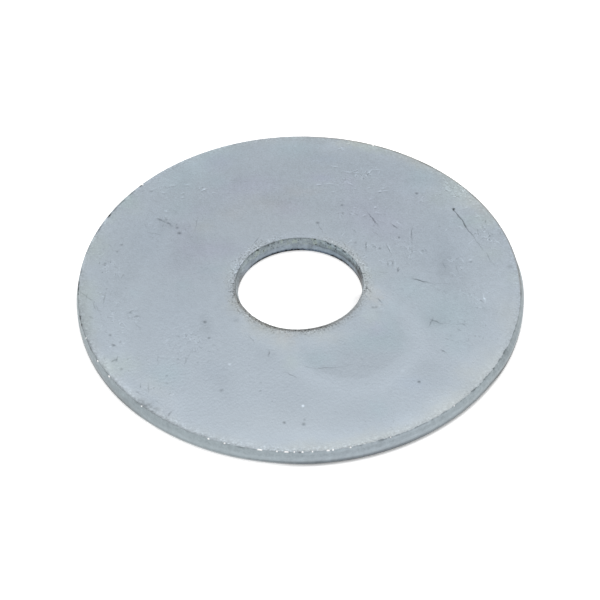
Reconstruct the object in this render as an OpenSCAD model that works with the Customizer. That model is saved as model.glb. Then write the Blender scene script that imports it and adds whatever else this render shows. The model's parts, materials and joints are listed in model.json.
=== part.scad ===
// Fender washer, stamped from steel sheet and zinc plated.
// The bore's axis is the Z axis, and Z = 0 is the underside, where the die has rolled both edges over.
// The burr that the stroke leaves stands on the top face, round the rim and round the bore.

/* [Washer] */
// Outside diameter, measured over the smooth land of the edge
outside_d = 30; // [20:0.5:50]
// Diameter of the bore at its narrowest, which clears the bolt
bore_d = 8.4; // [4.3:0.1:13]
// Thickness of the sheet
sheet_t = 1.2; // [0.9:0.05:3]

/* [Outer edge] */
// Radius of the corner rolled over on the underside
rim_roll_r = 0.25; // [0.05:0.05:0.5]
// Height of the smooth sheared land above that corner
rim_land_h = 0.45; // [0.1:0.05:0.8]
// How far the broken part of the edge leans in by the top face
rim_breakout = 0.12; // [0.02:0.02:0.4]

/* [Bore edge] */
// Radius of the corner rolled over on the underside
bore_roll_r = 0.25; // [0.05:0.05:0.5]
// Height of the smooth sheared land above that corner, which is the wall that guides the bolt
bore_land_h = 0.45; // [0.1:0.05:0.8]
// How far the broken part of the bore opens by the top face
bore_breakout = 0.16; // [0.02:0.02:0.4]

/* [Burr] */
// Height of the burr's crest above the top face
burr_h = 0.03; // [0.01:0.01:0.1]
// Width of the burr where it fades into the top face
burr_w = 0.1; // [0.02:0.01:0.2]

/* [Hidden] */
$fn = 180;

rim_r = outside_d / 2;
bore_r = bore_d / 2;
rim_land_z = rim_roll_r + rim_land_h;
bore_land_z = bore_roll_r + bore_land_h;
rim_crest_r = rim_r - rim_breakout;
bore_crest_r = bore_r + bore_breakout;
// How far a corner's cutter reaches past the section
over = 0.5;

// Waste of a rolled corner: what lies outside an arc that is tangent to both faces,
// for a section that fills the quarter above and to the right of the origin
module corner_waste(radius) {
    difference() {
        translate([-over, -over]) square(radius + over);
        translate([radius, radius]) circle(radius);
    }
}

// Sheet between the two sheared edges, each a straight land below and a broken, leaning
// face above that ends in the crest of the burr
module sheared_blank() {
    polygon([
        [bore_r, 0],
        [rim_r, 0],
        [rim_r, rim_land_z],
        [rim_crest_r, sheet_t + burr_h],
        [rim_crest_r - burr_w, sheet_t],
        [bore_crest_r + burr_w, sheet_t],
        [bore_crest_r, sheet_t + burr_h],
        [bore_r, bore_land_z]
    ]);
}

// Half section of the washer, with X as the radius and Y as the height
module washer_section() {
    difference() {
        sheared_blank();
        translate([rim_r, 0]) mirror([1, 0]) corner_waste(rim_roll_r);
        translate([bore_r, 0]) corner_waste(bore_roll_r);
    }
}

module washer() {
    color("LightSteelBlue")
    rotate_extrude()
    washer_section();
}

washer();
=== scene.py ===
import json
import math

import bpy
from mathutils import Matrix, Vector


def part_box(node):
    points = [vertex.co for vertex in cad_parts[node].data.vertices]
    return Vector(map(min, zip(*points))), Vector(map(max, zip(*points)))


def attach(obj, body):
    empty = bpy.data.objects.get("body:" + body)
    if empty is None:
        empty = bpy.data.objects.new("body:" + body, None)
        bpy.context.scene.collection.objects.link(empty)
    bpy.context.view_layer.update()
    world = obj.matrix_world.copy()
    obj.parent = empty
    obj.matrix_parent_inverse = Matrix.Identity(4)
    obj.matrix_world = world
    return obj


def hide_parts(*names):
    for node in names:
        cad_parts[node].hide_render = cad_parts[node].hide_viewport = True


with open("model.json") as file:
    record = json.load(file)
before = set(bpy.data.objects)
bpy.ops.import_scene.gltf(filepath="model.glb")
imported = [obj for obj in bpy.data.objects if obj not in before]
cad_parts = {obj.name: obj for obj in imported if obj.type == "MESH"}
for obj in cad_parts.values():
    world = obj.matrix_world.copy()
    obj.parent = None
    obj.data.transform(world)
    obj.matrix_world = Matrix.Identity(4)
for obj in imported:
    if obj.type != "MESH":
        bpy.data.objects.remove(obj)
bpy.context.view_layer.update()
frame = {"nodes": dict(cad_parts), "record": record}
mm = 0.001
print("frame loaded:", sorted(frame["nodes"]))

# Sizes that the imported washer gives, in metres
mounts = {mount["name"]: mount for mount in frame["record"]["mounts"]}
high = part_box("washer")[1]
landHalf = mounts["bore"]["dims"]["length_mm"] * mm / 2
landMiddle = mounts["bore"]["pos_m"][2]
washerSize = {
    "rimRadius": high.x,
    "boreRadius": mounts["bore"]["dims"]["r_mm"] * mm,
    "rollTop": landMiddle - landHalf,  # the rolled corner ends and the smooth land starts
    "landTop": landMiddle + landHalf,  # the land ends and the broken edge starts
    "faceZ": mounts["top_face"]["pos_m"][2],
    "crestZ": high.z,  # top of the burr
}


# Node trees, written as Python maths
# A smooth step keeps to its ends unaided, and Cycles adds a late node for each clamp, which fills its stack
smoothRange = {"interpolation_type": "SMOOTHSTEP", "clamp": False}


class Value:
    # one socket of a tree; an expression on values adds its nodes
    def __init__(self, net, socket):
        self.net, self.socket = net, socket

    def __add__(self, other):
        return self.net.maths("ADD", self, other)

    __radd__ = __add__

    def __sub__(self, other):
        return self.net.maths("SUBTRACT", self, other)

    def __rsub__(self, other):
        return self.net.maths("SUBTRACT", other, self)

    def __mul__(self, other):
        return self.net.maths("MULTIPLY", self, other)

    __rmul__ = __mul__

    def __truediv__(self, other):
        return self.net.maths("DIVIDE", self, other)

    def __rtruediv__(self, other):
        return self.net.maths("DIVIDE", other, self)

    def __neg__(self):
        return self.net.maths("MULTIPLY", self, -1.0)

    def __abs__(self):
        return self.net.maths("ABSOLUTE", self)


def isVector(item):
    if isinstance(item, Value):
        return item.socket.type in ("VECTOR", "RGBA")
    return isinstance(item, (tuple, list, Vector))


class Net:
    # one node tree; node() makes any node, and the rest are short forms of it
    def __init__(self, tree):
        self.tree = tree
        tree.nodes.clear()

    def node(self, kind, settings=None, inputs=None, out=0):
        made = self.tree.nodes.new(kind)
        for name, value in (settings or {}).items():
            setattr(made, name, value)
        for key, value in (inputs or {}).items():
            if isinstance(value, Value):
                self.tree.links.new(value.socket, made.inputs[key])
            else:
                made.inputs[key].default_value = value
        return Value(self, made.outputs[out]) if made.outputs else None

    def maths(self, operation, *items):
        if any(isVector(item) for item in items):
            items = [item if isVector(item) or isinstance(item, Value) else (item,) * 3 for item in items]
            return self.node("ShaderNodeVectorMath", {"operation": operation}, dict(enumerate(items)))
        return self.node("ShaderNodeMath", {"operation": operation}, dict(enumerate(items)))

    def axes(self, vector):
        parts = self.node("ShaderNodeSeparateXYZ", {}, {0: vector}).socket.node.outputs
        return [Value(self, part) for part in parts]

    def vector(self, x, y, z=0.0):
        return self.node("ShaderNodeCombineXYZ", {}, {0: x, 1: y, 2: z})

    def length(self, vector):
        return self.node("ShaderNodeVectorMath", {"operation": "LENGTH"}, {0: vector}, out="Value")

    def dot(self, a, b):
        return self.node("ShaderNodeVectorMath", {"operation": "DOT_PRODUCT"}, {0: a, 1: b}, out="Value")

    def most(self, a, b):
        return self.maths("MAXIMUM", a, b)

    def clamp(self, value):
        return self.node("ShaderNodeClamp", {}, {0: value})

    def fade(self, value, start, end):
        # 0 at start and 1 at end, either way round, with soft ends
        inputs = {"Value": value, "From Min": start, "From Max": end}
        return self.node("ShaderNodeMapRange", smoothRange, inputs)

    def patchPlace(self, place, centre, turn, size):
        # coordinates that run from -1 to 1 over a turned patch
        return self.node("ShaderNodeMapping", {"vector_type": "TEXTURE"}, {
            "Vector": place, "Location": (*centre, 0.0), "Rotation": (0.0, 0.0, math.radians(turn)),
            "Scale": (*size, 1.0)})

    def noise(self, vector, size, seed=0.0, detail=2.0, roughness=0.5, distortion=0.0):
        # about -1 to 1, with lumps of that size in the vector's own unit
        inputs = {"Vector": vector, "W": seed, "Scale": 1.0 / size, "Detail": detail,
                  "Roughness": roughness, "Distortion": distortion}
        return self.node("ShaderNodeTexNoise", {"noise_dimensions": "4D"}, inputs) * 2.0 - 1.0

    def mix(self, a, b, factor):
        # colours, from a at factor 0 to b at factor 1
        settings = {"data_type": "RGBA", "blend_type": "MIX"}
        return self.node("ShaderNodeMix", settings, {0: factor, 6: colour(a), 7: colour(b)}, out=2)


def colour(item):
    return item if isinstance(item, Value) else (*item[:3], 1.0)


def sideWay(degrees):
    # the direction of a side of the washer, seen from above
    return math.cos(math.radians(degrees)), math.sin(math.radians(degrees)), 0.0


def addObject(name, data):
    made = bpy.data.objects.new(name, data)
    bpy.context.scene.collection.objects.link(made)
    return made


# The washer's half section, as a loop of stations that the node tree turns about the axis
sectionShape = {
    "rimBreakout": 0.12 * mm,  # lean of the broken edge at the rim
    "boreBreakout": 0.16 * mm,  # and in the bore
    "burrWidth": 0.10 * mm,
    "burrTear": 0.8,  # how torn the foot of the burr is, beside its crest
    "edgeBand": 0.35 * mm,  # stations lie closer in these bands beside the burrs
    "rollSteps": 5,
    "landSteps": 3,
    "breakSteps": 8,
    "burrSteps": 2,
    "bandSteps": 3,
    "faceSteps": 20,
    "undersideSteps": 6,
}


def stationsBetween(start, end, steps):
    # points on a straight run, without its end
    return [start.lerp(end, k / steps) for k in range(steps)]


def stationsRound(centre, radius, startDegrees, endDegrees, steps):
    turns = [math.radians(startDegrees + (endDegrees - startDegrees) * k / steps) for k in range(steps)]
    return [centre + radius * Vector((math.cos(t), math.sin(t))) for t in turns]


def halfSection(size, shape):
    # stations round the section: radius, height, tear, face, side
    rim, bore, roll = size["rimRadius"], size["boreRadius"], size["rollTop"]
    landTop, faceZ, crestZ = size["landTop"], size["faceZ"], size["crestZ"]
    rimCrest, boreCrest = rim - shape["rimBreakout"], bore + shape["boreBreakout"]
    faceStart, faceEnd = rimCrest - shape["burrWidth"], boreCrest + shape["burrWidth"]
    band, torn = shape["edgeBand"], shape["burrTear"]
    stations = []

    def add(points, side, tear=(0, 0), face=(0, 0)):
        # tear and face change evenly along the points
        for k, point in enumerate(points):
            shares = [start + (end - start) * k / len(points) for start, end in (tear, face)]
            stations.append((*point, *shares, side))

    def straight(start, end, steps, side, **changes):
        add(stationsBetween(Vector(start), Vector(end), shape[steps]), side, **changes)

    def rolled(centre, degrees, side):
        add(stationsRound(Vector(centre), roll, degrees, degrees + 90, shape["rollSteps"]), side)

    straight((bore + roll, 0), (rim - roll, 0), "undersideSteps", 0)
    rolled((rim - roll, roll), -90, 1)
    straight((rim, roll), (rim, landTop), "landSteps", 1)
    straight((rim, landTop), (rimCrest, crestZ), "breakSteps", 1, tear=(0, 1))
    straight((rimCrest, crestZ), (faceStart, faceZ), "burrSteps", 1, tear=(1, torn), face=(0, 1))
    straight((faceStart, faceZ), (faceStart - band, faceZ), "bandSteps", 1, tear=(torn, 0), face=(1, 1))
    straight((faceStart - band, faceZ), (faceEnd + band, faceZ), "faceSteps", 0, face=(1, 1))
    straight((faceEnd + band, faceZ), (faceEnd, faceZ), "bandSteps", -1, tear=(0, torn), face=(1, 1))
    straight((faceEnd, faceZ), (boreCrest, crestZ), "burrSteps", -1, tear=(torn, 1), face=(1, 0))
    straight((boreCrest, crestZ), (bore, landTop), "breakSteps", -1, tear=(1, 0))
    straight((bore, landTop), (bore, roll), "landSteps", -1)
    rolled((bore + roll, roll), 180, -1)
    return stations


def sectionLoop(stations):
    # an edge loop that carries the stations' values as attributes
    mesh = bpy.data.meshes.new("halfSection")
    count = len(stations)
    edges = [(k, (k + 1) % count) for k in range(count)]
    mesh.from_pydata([(radius, height, 0.0) for radius, height, *_ in stations], edges, [])
    for name, values in zip(("fromAxis", "rise", "tear", "face", "side"), zip(*stations)):
        mesh.attributes.new(name, "FLOAT", "POINT").data.foreach_set("value", values)
    return addObject("stampedWasher", mesh)


# Geometry nodes: the section goes round the axis, and the torn edges and the face get their unevenness
washerForm = {
    "Turns": 1440,  # facets round the washer
    "Seed": 7.0,
    "Ragged depth": 0.085 * mm,  # how far the torn crest eats into the rim
    "Ragged pitch": 0.42 * mm,
    "Ragged towards": math.radians(-40),  # the side where it is torn most
    "Patch pitch": 2.4 * mm,  # size of its more and less torn stretches
    "Bore lean": 0.11 * mm,  # how much less the bore's broken edge opens on one side
    "Lean towards": math.radians(-20),  # that side
    "Grain depth": 0.012 * mm,  # roughness of the broken edge
    "Grain size": 0.16 * mm,
    "Bore shift": 0.055 * mm,  # how far the bore sits off the axis
    "Shift towards": math.radians(30),
    "Swell": 0.100 * mm,  # how far the rim's foot bulges on one side
    "Swell towards": math.radians(-12),
    "Burr fall": 0.029 * mm,  # how far the burr sinks away from its high side
    "Burr towards": math.radians(-165),
    "Burr pitch": 0.3 * mm,  # size of its uneven spots
    "Face wave": 0.004 * mm,  # shallow waves of the sheet
    "Wave length": 5.0 * mm,
}


def washerTree():
    tree = bpy.data.node_groups.new("turnSection", "GeometryNodeTree")
    tree.is_modifier = True
    kinds = {"Section": "Geometry", "Turns": "Int", "Finish": "Material"}
    for name in ("Section", *washerForm, "Finish"):
        kind = "NodeSocket" + kinds.get(name, "Float")
        tree.interface.new_socket(name, in_out="INPUT", socket_type=kind)
    tree.interface.new_socket("Washer", in_out="OUTPUT", socket_type="NodeSocketGeometry")
    net = Net(tree)
    given = {out.name: Value(net, out) for out in net.node("NodeGroupInput").socket.node.outputs}

    def stored(name):
        return net.node("GeometryNodeInputNamedAttribute", {"data_type": "FLOAT"}, {"Name": name})

    def keep(geometry, name, value):
        # puts a value on the points under that name
        return net.node("GeometryNodeStoreNamedAttribute", {"data_type": "FLOAT", "domain": "POINT"},
                        {"Geometry": geometry, "Name": name, "Value": value})

    def wayOf(angle):
        # the direction of an angle round the axis
        return net.vector(net.maths("COSINE", angle), net.maths("SINE", angle))

    circle = net.node("GeometryNodeCurvePrimitiveCircle", {"mode": "RADIUS"}, {"Resolution": given["Turns"]})
    angle = net.node("GeometryNodeInputIndex") / given["Turns"] * math.tau
    circle = keep(circle, "turn", angle)
    profile = net.node("GeometryNodeMeshToCurve", {}, {"Mesh": given["Section"]})
    swept = net.node("GeometryNodeCurveToMesh", {}, {"Curve": circle, "Profile Curve": profile})

    turn = stored("turn")
    outward = wayOf(turn)
    radius, height, tear = stored("fromAxis"), stored("rise"), stored("tear")
    place = outward * radius + net.vector(0.0, 0.0, height)

    def towards(name, start, end):
        # 1 on the side that the input names
        return net.fade(net.maths("COSINE", turn - given[name]), start, end)

    def lumps(where, name, seed, detail=1.0, roughness=0.5):
        # noise with lumps of the size that the input names
        return net.noise(where / given[name], 1.0, given["Seed"] + seed, detail, roughness)

    side = stored("side")
    atRim, inBore = net.clamp(side), net.clamp(-side)
    ragged = net.fade(lumps(outward * radius, "Ragged pitch", 0.0, 2.0), -0.16, 0.12)
    worse = atRim * (0.08 + 0.92 * towards("Ragged towards", 0.6, 0.95)) + inBore * 0.15
    worse = worse * (0.45 + 0.55 * net.fade(lumps(outward * radius, "Patch pitch", 3.0), -0.2, 0.2))
    grain = lumps(place, "Grain size", 11.0, 3.0, 0.6)
    inward = tear * tear * ragged * worse * given["Ragged depth"] + tear * grain * given["Grain depth"]
    lean = inBore * tear * towards("Lean towards", -0.2, 0.9) * given["Bore lean"]
    swell = atRim * (1.0 - tear) * net.fade(radius, washerSize["rimRadius"] - washerSize["rollTop"],
                                            washerSize["rimRadius"])
    swell = swell * towards("Swell towards", 0.91, 0.975) * given["Swell"]
    radial = radius - side * inward - lean + swell
    shift = wayOf(given["Shift towards"]) * (inBore * given["Bore shift"])
    uneven = 0.9 + 0.1 * net.clamp(0.5 + lumps(place, "Burr pitch", 5.0))
    fall = given["Burr fall"] * uneven * (1.0 - 0.85 * atRim * towards("Burr towards", 0.5, 0.95))
    wave = lumps(place, "Wave length", 17.0) * given["Face wave"]
    crest = net.fade(height, washerSize["faceZ"] + 0.002 * mm, washerSize["crestZ"])
    lifted = height - crest * fall + stored("face") * (1.0 - tear) * wave
    place = outward * radial + shift + net.vector(0.0, 0.0, lifted)
    made = net.node("GeometryNodeSetPosition", {}, {"Geometry": swept, "Position": place})
    made = keep(made, "notch", ragged * worse * tear)
    made = net.node("GeometryNodeFlipFaces", {}, {"Mesh": made})  # the sweep leaves them facing inwards
    made = net.node("GeometryNodeRealizeInstances", {}, {"Geometry": made})
    made = net.node("GeometryNodeSetMaterial", {}, {"Geometry": made, "Material": given["Finish"]})
    net.node("NodeGroupOutput", {}, {0: made})
    return tree


def addTree(piece, tree, values):
    # sets each input by its socket's identifier
    modifier = piece.modifiers.new(tree.name, "NODES")
    modifier.node_group = tree
    for item in tree.interface.items_tree:
        if item.in_out == "INPUT" and item.name in values:
            modifier[item.identifier] = values[item.name]


def asPlainMesh(piece, name):
    graph = bpy.context.evaluated_depsgraph_get()
    mesh = bpy.data.meshes.new_from_object(piece.evaluated_get(graph))
    piece.modifiers.clear()
    piece.data = mesh
    piece.name = mesh.name = name
    return piece


# The finish: zinc plate on stamped steel, with a faint chromate film
# Places are millimetres from the bore's axis, seen from above. A row is x, y, two half widths, turn in
# degrees where there is one, and strength, as a share of the base colour
zincPlate = {
    "base": (.4080, .4624, .5172),
    "roughness": .32,
    "shades": [  # broad light and dark areas of the face
        (9.8, 1, 1.7, 3.6, -.075), (9.8, 1.3, .9, 1.5, -.045), (9.9, 4.6, 1.5, 2, -.03),
        (9.3, -3.6, 1.7, 1.1, -.08), (8.7, -3.6, .6, .6, -.04), (-7.3, 4, 1.8, 3.2, -10, -.075),
        (-8.6, 2.4, 1.6, 2, 30, -.04), (-8.9, 5.9, 2, .6, -42, -.06), (-6.2, -3.8, .8, 1.4, -.09),
        (-1.8, 8.3, 1.9, 1, -.055), (-4, 10.2, 2, .9, -.035), (5.2, 6.1, 1, .9, -.05),
        (2.3, 7.3, 2.2, 1, -.045), (2.9, 5.6, 1.2, .7, -.03), (5.6, 8, 3, 2.2, -.04),
        (7.5, 4.6, 2.4, 1.6, 20, -.025), (-5.2, -8.9, 2.8, 1.5, -64, -.055), (-2.2, -6.5, .9, .9, -.045),
        (8.2, -8.4, 2, 2.2, 30, -.05), (3.8, -11.7, 3.4, 1.6, -.04), (-.8, -10.2, 3, 2.4, -.035),
        (-11.5, 1, 1, 2.4, -10, -.04), (-6.3, 1.2, 1.4, 1.4, -.04), (-7.8, 0, 3, 6, -.02),
        (-9.7, -10.8, .8, .6, -.06), (-8.7, -11.8, .6, .5, -.06), (5.4, -.9, 1.7, .9, -35, .085),
        (1.4, -5.1, 1.6, .9, .055), (-2.6, -4.9, 3, 1, -12, .055), (-1.2, -5.7, 1, 1.4, .04),
        (-4, -3.2, .8, .8, .04), (3.2, -4.6, 1.4, 1, .03), (9.2, 9, 2, .7, -33, .06),
        (11.4, 8.8, 1.6, 1.8, .1), (12.3, 7.6, 1.3, .9, .07), (9.2, -11.3, 2.6, 1.7, 40, .1),
        (6.6, -12.7, 2.2, 1.2, 20, .08), (4.8, 13.8, 3.2, .9, -10, .09), (2.4, 13.7, 1.5, .6, .05),
        (-1, 14, 3.5, 1.2, .06), (-5.4, 13.4, 1.8, 1.1, 20, .06), (-7.3, 12.2, 1.8, 1.4, 45, .08),
        (-9.6, 10.4, 2.4, 1.4, 30, .065), (-13.4, 5.8, 1.4, 2.2, .04), (-11.6, -6.2, 1.2, 3, 10, .05),
        (11.4, -7.8, 2.2, 2.4, .055), (13.3, -1.2, 1.4, 2.6, .035), (-3.8, -14, 2.6, 1, .045),
        (.5, -13.6, 3, 1.4, .055), (-8, -10.6, 1.4, 1.4, .04), (11.3, 4.2, 1.2, 1.2, .03),
        (-11, -.5, 1, 3.4, -15, .025), (3, 13.2, 2.4, 1.4, -10, .05), (7.6, 8.8, 1.6, 1, -20, .045),
        (10.7, 7.2, 1.2, 1, .055), (-10.4, 7.2, 1.8, 2.6, -20, .035), (-9.6, -9.2, 1.6, 1.2, -45, .035),
        (1.8, -7.2, 1.6, 1, .035), (6.9, -.6, 1.4, 1.2, .035), (10.2, .6, .9, 2, .04),
        (-3.8, 9.6, .9, 1.8, -.03), (-.3, 9.4, 1, 1.8, -.03), (4.2, 11, 1.8, 1, -.025),
        (-10.4, 3.2, 1.2, 2.2, -.03), (-4.4, 3.6, 1.4, 1.2, -.03), (-6.2, -4.6, 1.2, 1.2, -.025),
        (-2.2, -7.4, 1.8, 1.2, -.025), (3.2, -9.5, 2.2, 1, -.025), (5.6, 4.8, 1.6, 1.2, -.025),
        (8.2, 1.6, 1.4, 1.6, -.025), (9.6, -2.4, 2, 1.2, -.02), (-10, 10.2, 2.4, 1.8, 40, .02),
        (-6.6, 11.2, 2.8, 1.6, 25, .05), (-2, 12.6, 3.4, 1.6, 8, .045), (2.4, 14, 2.6, 1.4, .05),
        (6.2, 12.9, 3, 1.4, -25, .055), (9, 11.4, 1.8, 1.2, -40, .035), (11.2, 7.8, 1.6, 1.2, -40, .045),
        (5.1, -3, 2.6, 1.5, -56, .085), (4.6, 1.4, 1, 1.6, .035), (-5.6, 3.4, 2.2, 1.8, -.04),
        (-9.3, 5.3, .9, 1.4, -.05), (-.4, 8, 3.6, 2.2, -.035), (4, 7, 1.8, 1.8, -.03), (8, 3.4, 2.6, 3, -.03),
        (10.4, 1, 1.7, 6, 8, -.045), (9.2, -2.8, 1.6, 1.2, -.03), (-10.2, -10.8, 1.2, 1, -45, -.07),
        (-5.2, -13.8, 1.8, .9, -15, -.06), (13.6, -5.6, 1.6, 3.6, 12, .035), (3, -14, 2.6, 1.2, 10, .045),
        (-2, -12.6, 2.2, 1.8, .025), (-12, -4.4, 1.8, 2.8, 10, .025), (-12.6, 6.6, 1.8, 2.4, -15, .025),
        (-3.6, -3.9, 1.6, 1, -30, .04), (11.9, 2.6, 1.1, 1.6, .03), (-6, 7.6, 2.8, 2, 20, -.02),
        (-5.6, -7.4, 2.4, 2.4, -.018), (.6, -5.6, 2.6, 1.2, .025), (6.4, -6.6, 2, 2, .018),
        (1.6, -7.6, 1.4, .9, -20, -.03), (-12.65, -7.3, 1.9, .55, -60, .1), (-11.4, -9.2, 1.6, .5, -51, .09),
        (12.65, -7.3, 1.9, .55, 60, .07), (14.35, -2.4, 1.4, .45, 80, .05),
        (-14.55, -2.3, 1.2, .35, -80, -.06), (-14.1, -3.3, 1.5, .6, -77, -.045),
    ],
    "tints": {  # areas where the film is thicker: colour, rows
        "mauve": ((1.01, .976, 1.016), [
            (-3, 9.8, 3.2, 1.7, 1), (4.6, 6.8, 2.6, 3.8, 25, .8), (-7.9, 4.9, 1.4, 2.8, .6),
            (-5.8, 3.4, 3.2, 1.4, 1), (-6.8, 7.2, 1.3, 1.1, .6), (3.6, 10, .9, 1.4, .7),
            (-5, 9, 2.4, 2.4, .4), (-.6, 7.4, 1.8, 1.4, .7), (6.6, 5.4, 2.6, 3, .6),
            (7.4, 9, 3, 2.4, -30, .5), (-5.6, 12.2, 1.8, 1.4, 20, 1), (1.6, 10.4, 1.6, 1, .8),
            (-7.6, 2, 3, 2.4, .4), (5.2, -4.4, 1, 1.2, .9)]),
        "tan": ((1.045, .996, .965), [
            (-2.4, 8, 3.2, 1.5, -8, .6), (-.4, 9.2, 1.2, 1, .6), (.8, 9, 1.8, .8, 15, .5),
            (-4.6, 7, 1.6, 1.3, .5), (5.2, -1.3, 1.3, 1.1, .5), (-.9, -4.9, 1.1, .9, .7),
            (-2, 6, 7, 3.2, 10, .25), (-8.5, -11, 1, 1.6, .3)]),
        "teal": ((.968, 1.016, 1.006), [
            (-8.2, 10.6, 2.8, 2.4, 30, .8), (-8.2, 7.6, 1.8, 1.8, .5), (10.2, -6, 1.4, 1.6, .6),
            (7.8, 9.2, 2, 1.2, .5), (6.2, -2.4, 1.2, 1.2, .5), (6.2, -6, 1.4, 1.2, .4),
            (-6, 12.8, 3.4, 2.3, 25, 1), (-.2, 13.6, 2.8, 1.6, .9), (-5.6, 10.2, 1.3, 1.1, .8),
            (8.7, 10.4, 1.7, 1.8, .9), (9.8, -2.9, 3.2, 3.6, 20, 1), (7.4, -.6, 1.8, 1.9, .8),
            (4.8, -5.4, 3.4, 1.7, 10, 1), (5.9, -3.9, 1.2, 1.6, .7), (1.2, -6.9, 2, 1.4, .9),
            (-8.7, -8.1, 2, 1.8, .9), (4.9, -11.4, 1, 1.3, .7), (-12, 8.3, 1.2, 1.2, .7),
            (-7.8, 0, .9, .8, .6), (-11, -.7, .8, .8, .5), (-5.6, 1.5, 2.4, .7, .5),
            (11.4, 5.8, 1.8, .8, .5)]),
        "blue": ((.984, .996, 1.02), [
            (9.8, 3, 3.6, 5, .6), (2, 12.4, 2, .8, 1), (7.2, -9.2, 1.7, 1.1, .9), (-10.2, 4.6, 2.4, 5, .6),
            (-8.2, -3, 3, 4.5, .4), (-5.6, -7.9, 1.4, 1.5, .4), (5.6, 11.2, 4, 1.6, -15, .4),
            (1.9, 10.4, 1.3, .6, .8)]),
        "olive": ((1.01, 1.022, .958), [
            (-12.2, 8.6, 1.4, 3, 38, .8), (9.8, 8.2, 1.6, 1.4, -40, .6), (-14, -3.4, 1, 2.4, 12, .6),
            (-13.9, 3.7, 1.5, 2.2, .9), (-14.2, -.7, 1.3, 2.2, .9), (-11.8, -7.3, 2.4, 1.5, .9),
            (11, 9.2, 1.4, 2.8, 25, .9), (12.6, 5.8, 2, 1.2, .8), (5.2, 13.6, 2.6, 1, -15, .9),
            (-.6, -7.2, .9, 1.2, .7), (5, .8, 1.6, 1.2, .5), (13, 2.6, 1.8, 1.2, .5), (4.7, -3.2, 1, 1.4, .6),
            (-13, 6.8, 1, 1, .5), (14.4, .2, .9, 1.2, .5)]),
        "straw": ((1.036, 1.006, .95), [
            (9.6, -11.2, 4.6, 2, 40, .9), (12.6, -7.6, 2.2, 2.8, .7), (13.8, -3.4, 1.4, 3.2, .6),
            (4.6, -13.8, 4.4, 1.2, 14, .8), (.6, -14.4, 2.6, .9, .7), (12.4, 7.8, 2.2, 1.6, .8),
            (4, 14.2, 2, .8, .9), (-2.4, -4.2, 2.4, 1.6, -25, 1), (1.7, -4.9, 2.2, 1.2, .7),
            (-4.4, -2, 1, 1.6, .7), (-6.6, 5.6, 1.2, 1, .5), (-2, -12.5, 7, 2.6, .2),
            (8.4, 12.2, 3.4, 1.2, -36, .9), (13, 7, 1.2, 2.2, 25, .8), (10.8, -8.4, 1.6, 1.4, .8),
            (-1, -5.6, 1.4, 1.2, .8), (4.9, -1.2, .9, 2, 10, .7), (-4.7, .6, .9, 2.4, .6),
            (-9.4, -9.2, 2, 1.2, -40, .5)]),
    },
    "arc": (3.6, -5.4, 4.3, .85, .045),  # light arc beside the bore: centre, radius, half width, strength
    "arcOpens": 138,  # the way the arc is open, in degrees
    "pool": (3.4, -5.2, 3.75, -.075),  # darker pool inside it: centre, radius, strength
    "poolEdge": (1.2, -2.6, 2.6, 4.8),  # which fades out towards this point, between these distances
    "scratches": [  # thin marks, dark or light
        (6.23, 3.14, .47, .05, -77, .12), (7.77, 4.31, .86, .04, -91, -.12), (7.64, 4.32, .74, .04, -91, .09),
        (6.02, 1.7, .26, .05, -82, -.14), (6.34, 1.78, .25, .05, -79, -.14),
        (6.72, 1.07, .22, .055, 53, -.16), (8.11, .14, .7, .045, -25, -.13),
        (8.93, -.24, .44, .04, -24, -.06), (8.67, 2.98, .25, .045, -69, -.14),
        (8.32, 2.76, .19, .045, -54, .12), (4.47, -.59, .54, .05, 79, -.18),
        (-14.4, -.85, .43, .055, -47, -.13), (-14.01, -1.23, .24, .055, -38, -.13),
        (-14.24, -.92, .36, .05, -100, -.1), (-13.69, -1.89, .33, .055, -71, -.13),
        (-13.06, -1.18, .48, .055, -97, -.14), (-12.23, -5.46, .32, .055, -31, -.11),
        (-11.95, -6.69, .26, .06, -91, -.18), (-10.34, -9.1, .24, .06, -89, -.14),
        (-9.81, -9.31, .42, .055, -87, -.12), (-7.47, -6.94, .39, .055, -98, -.12),
        (-5.95, -6.18, .13, .055, -21, -.12), (10.82, 6.98, .18, .065, -84, -.34),
        (11.08, 6.37, .66, .06, -62, -.34), (11.48, 5.46, .59, .055, -72, -.34),
        (11.81, 4.65, .5, .05, -62, -.26), (12.11, 4, .41, .045, -68, -.15),
        (12.4, 3.35, .48, .045, -65, -.15), (12.87, 2.31, .38, .05, -78, -.17),
        (13.09, 1.72, .41, .04, -63, -.09), (10.21, -3.98, 1.28, .035, -2, -.06),
        (3.85, 4.99, .33, .05, -50, -.12), (3.05, 4.66, .25, .05, 46, .12), (5.36, 4.66, .33, .05, -51, -.1),
        (6.92, 5.72, .33, .05, -51, .12), (10.12, 4.96, .28, .05, 60, .12), (10.67, 4.25, .21, .05, -38, -.1),
        (11.17, 5.23, .24, .05, -32, .14), (12.46, 6.36, .25, .05, -50, .16),
        (12.55, 5.15, .28, .05, -43, .14), (13.09, 4.45, .32, .05, -78, -.12),
        (13.58, 3.75, .25, .05, -50, .14), (11.73, 3.69, .26, .05, 45, .12),
        (9.83, 1.54, .37, .05, -80, -.12), (10.22, 1.92, .24, .05, -31, .12),
        (10.69, 1.14, .37, .05, -80, -.12), (10.36, .71, .27, .05, -42, .12), (11.08, 2, .29, .05, -58, .12),
        (12.32, -1.64, .47, .05, -84, .14), (12.2, -1.97, .21, .05, -57, -.12),
        (6.52, 1.8, .6, .045, -92, .1), (5.77, 1.91, .34, .045, -1, .09), (5.6, .91, .34, .045, -11, -.09),
        (3.52, 3.96, .25, .05, 46, .14), (4.34, 1.75, .35, .05, -45, .12),
        (-11.32, -2.51, .26, .05, 40, -.12), (-10.87, -2.94, .27, .05, 24, -.12),
        (-11.64, -3.57, .29, .05, -53, .1), (-10.68, -3.77, .32, .05, -47, -.1),
        (-13.48, -2.1, .43, .05, -70, -.1), (-13.44, 3.04, .24, .05, 48, .1),
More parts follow.
